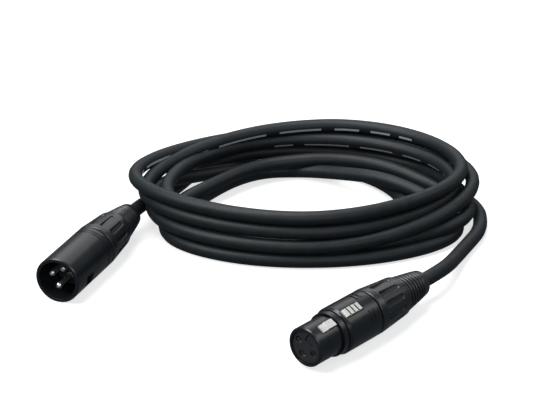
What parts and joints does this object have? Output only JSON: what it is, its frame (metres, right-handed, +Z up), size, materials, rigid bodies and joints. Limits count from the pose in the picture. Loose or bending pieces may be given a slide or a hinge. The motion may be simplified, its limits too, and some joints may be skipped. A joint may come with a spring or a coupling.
{
  "type": "xlr cable",
  "caption": "Coiled balanced audio cable with a pinned plug on one end and a latching socket connector on the other, each with a screwed collar and a ribbed bend relief",
  "frame": {"origin": "on the ground, under the middle of the two connectors' box", "axes": "+Z up; +X from the male plug towards the female connector; +Y from the connectors' open ends back to the coil"},
  "size_m": [0.185, 0.1977, 0.024],
  "materials": {
    "shell_metal": "satin black coating on die-cast metal",
    "insert_plastic": "matte charcoal moulded plastic",
    "contact_metal": "silver-plated turned brass",
    "latch_metal": "nickel-plated",
    "spring_steel": "thin sprung strip",
    "chuck_plastic": "moulded jaws",
    "collar_plastic": "satin black moulded plastic",
    "relief_rubber": "soft black moulded sleeve",
    "cable_jacket": "matte black flexible jacket with a fine mottled surface",
    "drain_copper": "bare twisted copper",
    "conductor_red": "insulated conductor",
    "conductor_white": "insulated conductor"
  },
  "bodies": {
    "root": {"male_shell": "shell_metal", "male_insert": "insert_plastic", "female_shell": "shell_metal", "female_insert": "insert_plastic", "latch_pivot_pin": "latch_metal", "latch_spring": "spring_steel", "cable_tail_male": "cable_jacket", "cable_coil": "cable_jacket", "cable_tail_female": "cable_jacket", "male_pin_1": "contact_metal", "female_socket_1": "contact_metal", "male_pin_2": "contact_metal", "female_socket_2": "contact_metal", "male_pin_3": "contact_metal", "female_socket_3": "contact_metal", "male_chuck": "chuck_plastic", "male_cable_end": "cable_jacket", "male_shield_drain": "drain_copper", "male_wire_hot": "conductor_red", "male_wire_cold": "conductor_white", "female_chuck": "chuck_plastic", "female_cable_end": "cable_jacket", "female_shield_drain": "drain_copper", "female_wire_hot": "conductor_red", "female_wire_cold": "conductor_white"},
    "latch": {"female_latch": "latch_metal"},
    "male_relief": {"male_bend_relief": "relief_rubber"},
    "male_collar": {"male_boot_collar": "collar_plastic"},
    "female_relief": {"female_bend_relief": "relief_rubber"},
    "female_collar": {"female_boot_collar": "collar_plastic"}
  },
  "joints": [
    {"name": "latch_press", "type": "hinge", "parent": "root", "child": "latch", "pos_m": [0.04827, -0.03684, 0.01427], "axis": [0.6654, -0.5804, -0.4695], "range_deg": [0, 3], "stiffness_Nm_per_rad": 0.2, "deforming": ["latch_spring"]},
    {"name": "male_relief_slide", "type": "slide", "parent": "root", "child": "male_relief", "axis": [0.3714, 0.9285, 0], "range_m": [0, 0.006]},
    {"name": "male_collar_turn", "type": "hinge", "parent": "male_relief", "child": "male_collar", "pos_m": [-0.05377, 0.03562, 0.0095], "axis": [0.3714, 0.9285, 0], "range_deg": [0, 1440]},
    {"name": "female_relief_slide", "type": "slide", "parent": "root", "child": "female_relief", "axis": [0.6574, 0.7536, 0], "range_m": [0, 0.006]},
    {"name": "female_collar_turn", "type": "hinge", "parent": "female_relief", "child": "female_collar", "pos_m": [0.05714, -0.02282, 0.0095], "axis": [0.6574, 0.7536, 0], "range_deg": [0, 1440]}
  ],
  "couplings": [
    {"joint": "male_collar_turn", "follows": "male_relief_slide", "rad_per_m": 4188.7},
    {"joint": "female_collar_turn", "follows": "female_relief_slide", "rad_per_m": 4188.7}
  ]
}
